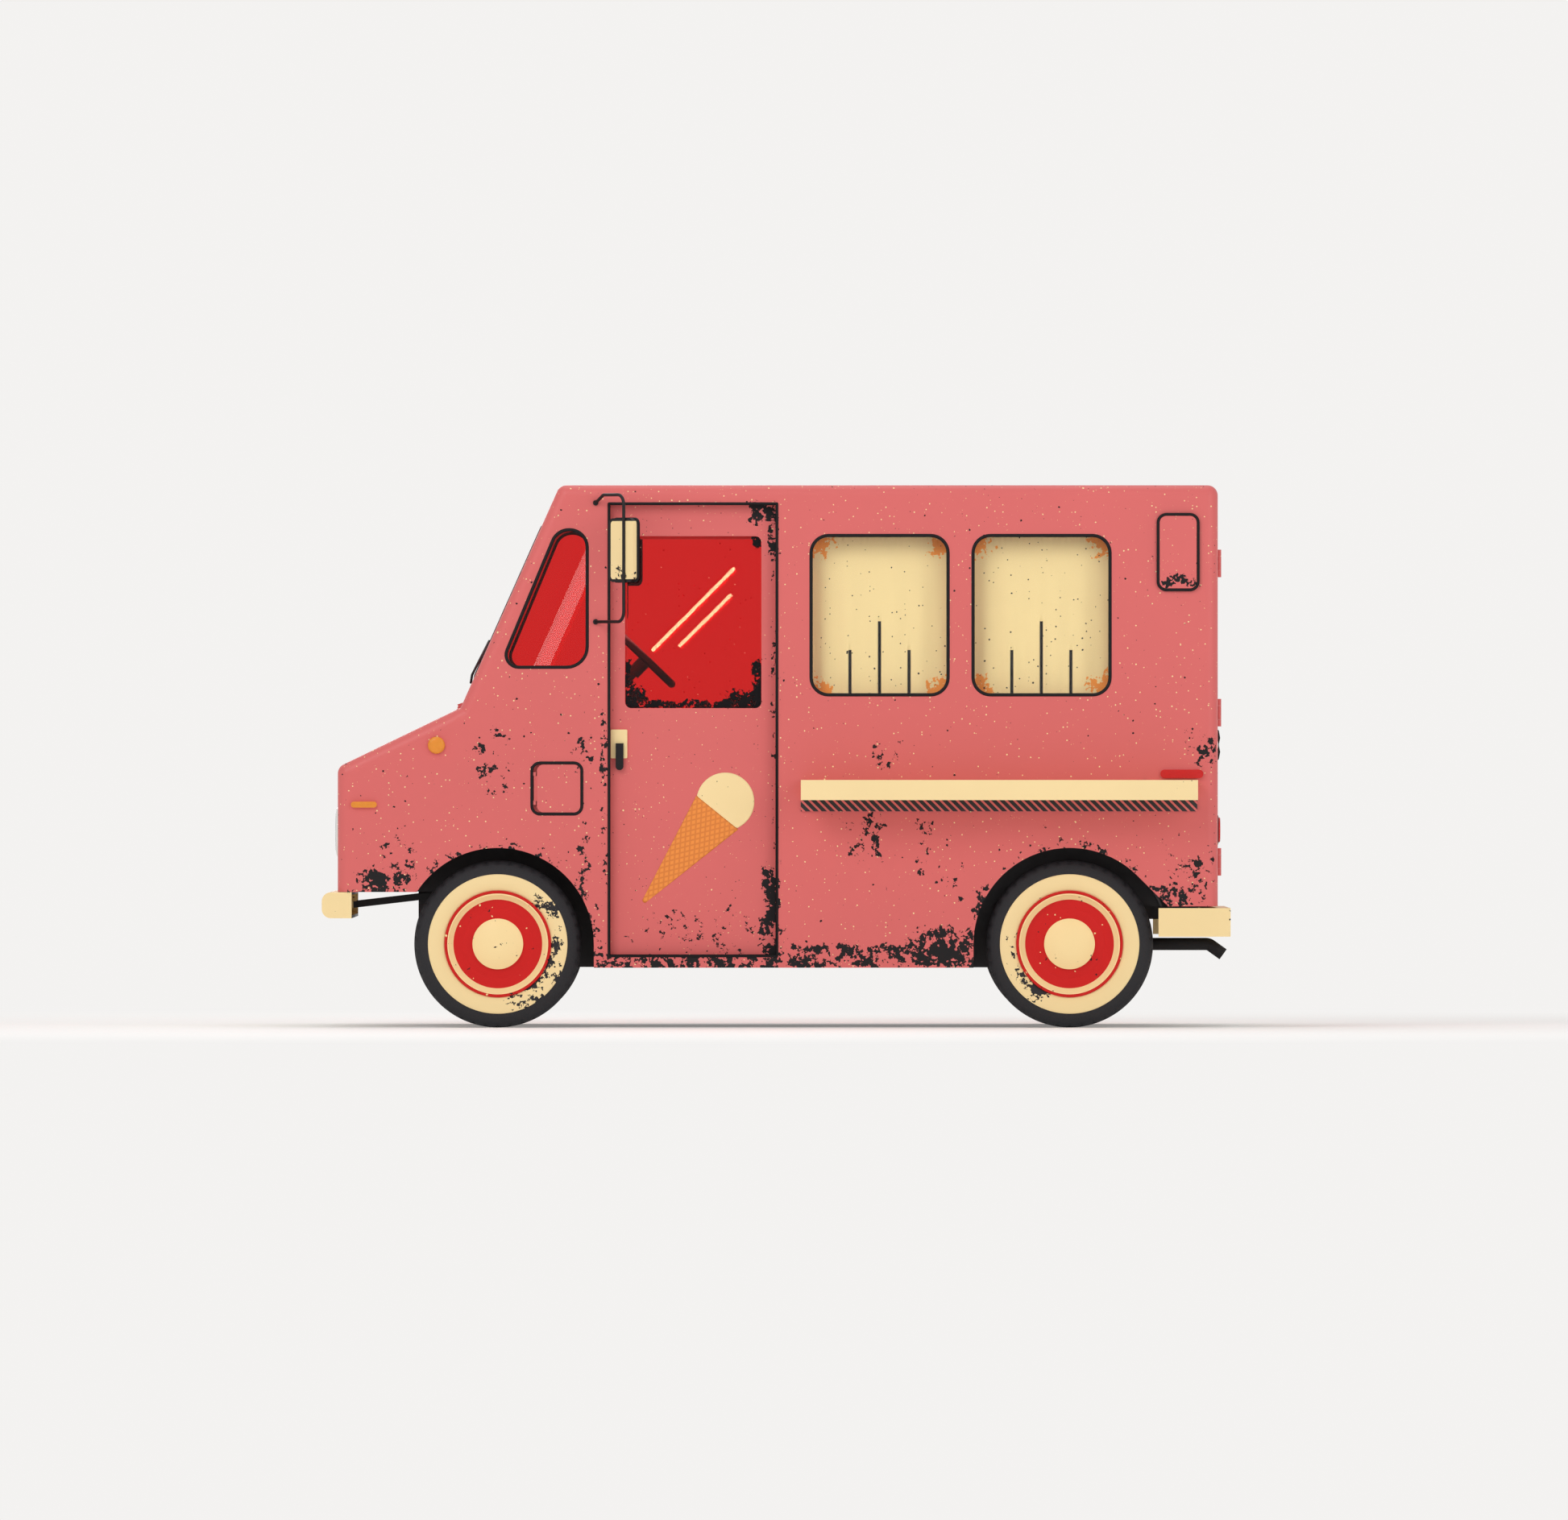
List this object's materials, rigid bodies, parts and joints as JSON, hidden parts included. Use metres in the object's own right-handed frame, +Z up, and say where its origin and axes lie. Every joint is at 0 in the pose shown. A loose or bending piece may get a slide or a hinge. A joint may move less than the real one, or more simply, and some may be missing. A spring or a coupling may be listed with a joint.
{
  "type": "ice cream truck",
  "caption": "Small step van fitted out as an ice cream truck, pink with cream trim, sliding side doors, rear doors, serving windows with curtains and a counter",
  "frame": {"origin": "On the ground under the middle of the overall length and width", "axes": "+X points to the front, +Y to the vehicle's left, +Z up"},
  "size_m": [3.948, 2.3058, 2.3579],
  "materials": {
    "body_paint": "worn gloss",
    "cream_paint": "worn gloss",
    "wheel_paint": "gloss",
    "black_paint": "satin",
    "chassis_paint": "matte",
    "steel": "brushed",
    "iron": "rough",
    "tyre_rubber": "matte",
    "glass": "polished",
    "amber_lens": "gloss",
    "red_lens": "gloss",
    "lamp_glass": "polished",
    "curtain_cloth": "woven",
    "seat_vinyl": "satin",
    "black_plastic": "satin",
    "white_enamel": "gloss"
  },
  "bodies": {
    "body": {"roof": "body_paint", "left_load_side": "body_paint", "right_load_side": "body_paint", "left_cab_side": "body_paint", "right_cab_side": "body_paint", "screen_panel": "body_paint", "nose_panel": "body_paint", "rear_frame": "body_paint", "vents": "body_paint", "counter": "cream_paint", "front_bumper": "cream_paint", "rear_bumper": "cream_paint", "mirrors": "cream_paint", "grille": "cream_paint", "fixed_glass": "glass", "headlamps": "lamp_glass", "amber_lamps": "amber_lens", "red_lamps": "red_lens", "chassis": "chassis_paint", "front_axle": "chassis_paint", "rear_axle": "chassis_paint", "leaf_springs": "chassis_paint", "fuel_tank": "chassis_paint", "wheel_housings": "chassis_paint", "engine": "iron", "exhaust": "steel", "inner_rails": "steel", "floor": "black_paint", "firewall": "black_paint", "seat_frame": "black_paint", "seat_pads": "seat_vinyl", "left_curtains": "curtain_cloth", "right_curtains": "curtain_cloth", "freezer": "white_enamel"},
    "left_knuckle": {"left_knuckle": "chassis_paint"},
    "right_knuckle": {"right_knuckle": "chassis_paint"},
    "left_door": {"left_door": "body_paint", "left_door_glass": "glass", "left_handle": "cream_paint"},
    "right_door": {"right_door": "body_paint", "right_door_glass": "glass", "right_handle": "cream_paint"},
    "rear_door_left": {"rear_door_left": "body_paint", "rear_glass_left": "glass"},
    "rear_door_right": {"rear_door_right": "body_paint", "rear_glass_right": "glass"},
    "hood": {"hood": "body_paint"},
    "filler_flap": {"filler_flap": "body_paint"},
    "steering_wheel": {"steering_wheel": "black_plastic"},
    "front_left_wheel": {"front_left_wheel": "wheel_paint", "front_left_tyre": "tyre_rubber"},
    "front_right_wheel": {"front_right_wheel": "wheel_paint", "front_right_tyre": "tyre_rubber"},
    "rear_left_wheel": {"rear_left_wheel": "wheel_paint", "rear_left_tyre": "tyre_rubber"},
    "rear_right_wheel": {"rear_right_wheel": "wheel_paint", "rear_right_tyre": "tyre_rubber"}
  },
  "joints": [
    {"name": "left_steer", "type": "hinge", "parent": "body", "child": "left_knuckle", "pos_m": [1.21, 0.69, 0.364], "axis": [0, 0, 1], "range_deg": [-32, 32]},
    {"name": "right_steer", "type": "hinge", "parent": "body", "child": "right_knuckle", "pos_m": [1.21, -0.69, 0.364], "axis": [0, 0, 1], "range_deg": [-32, 32]},
    {"name": "steering_turn", "type": "hinge", "parent": "body", "child": "steering_wheel", "pos_m": [0.567, 0.385, 1.602], "axis": [-0.6947, 0, 0.7193], "range_deg": [-512, 512]},
    {"name": "front_left_roll", "type": "hinge", "parent": "left_knuckle", "child": "front_left_wheel", "pos_m": [1.21, 0.815, 0.364], "axis": [0, 1, 0], "continuous": true},
    {"name": "front_right_roll", "type": "hinge", "parent": "right_knuckle", "child": "front_right_wheel", "pos_m": [1.21, -0.815, 0.364], "axis": [0, 1, 0], "continuous": true},
    {"name": "rear_left_roll", "type": "hinge", "parent": "body", "child": "rear_left_wheel", "pos_m": [-1.275, 0.815, 0.364], "axis": [0, 1, 0], "continuous": true},
    {"name": "rear_right_roll", "type": "hinge", "parent": "body", "child": "rear_right_wheel", "pos_m": [-1.275, -0.815, 0.364], "axis": [0, 1, 0], "continuous": true},
    {"name": "left_door_slide", "type": "slide", "parent": "body", "child": "left_door", "axis": [-1, 0, 0], "range_m": [0, 0.64]},
    {"name": "right_door_slide", "type": "slide", "parent": "body", "child": "right_door", "axis": [-1, 0, 0], "range_m": [0, 0.64]},
    {"name": "rear_door_left_swing", "type": "hinge", "parent": "body", "child": "rear_door_left", "pos_m": [-1.929, 0.6175, 1.37], "axis": [0, 0, -1], "range_deg": [0, 110]},
    {"name": "rear_door_right_swing", "type": "hinge", "parent": "body", "child": "rear_door_right", "pos_m": [-1.929, -0.6175, 1.37], "axis": [0, 0, 1], "range_deg": [0, 110]},
    {"name": "hood_lift", "type": "hinge", "parent": "body", "child": "hood", "pos_m": [1.38395, 0, 1.39252], "axis": [0, -1, 0], "range_deg": [0, 60]},
    {"name": "filler_flap_swing", "type": "hinge", "parent": "body", "child": "filler_flap", "pos_m": [1.049, 0.919, 1.04], "axis": [0, 0, -1], "range_deg": [0, 90]}
  ],
  "couplings": [
    {"joint": "right_steer", "follows": "left_steer", "ratio": 1},
    {"joint": "steering_turn", "follows": "left_steer", "ratio": 16}
  ]
}
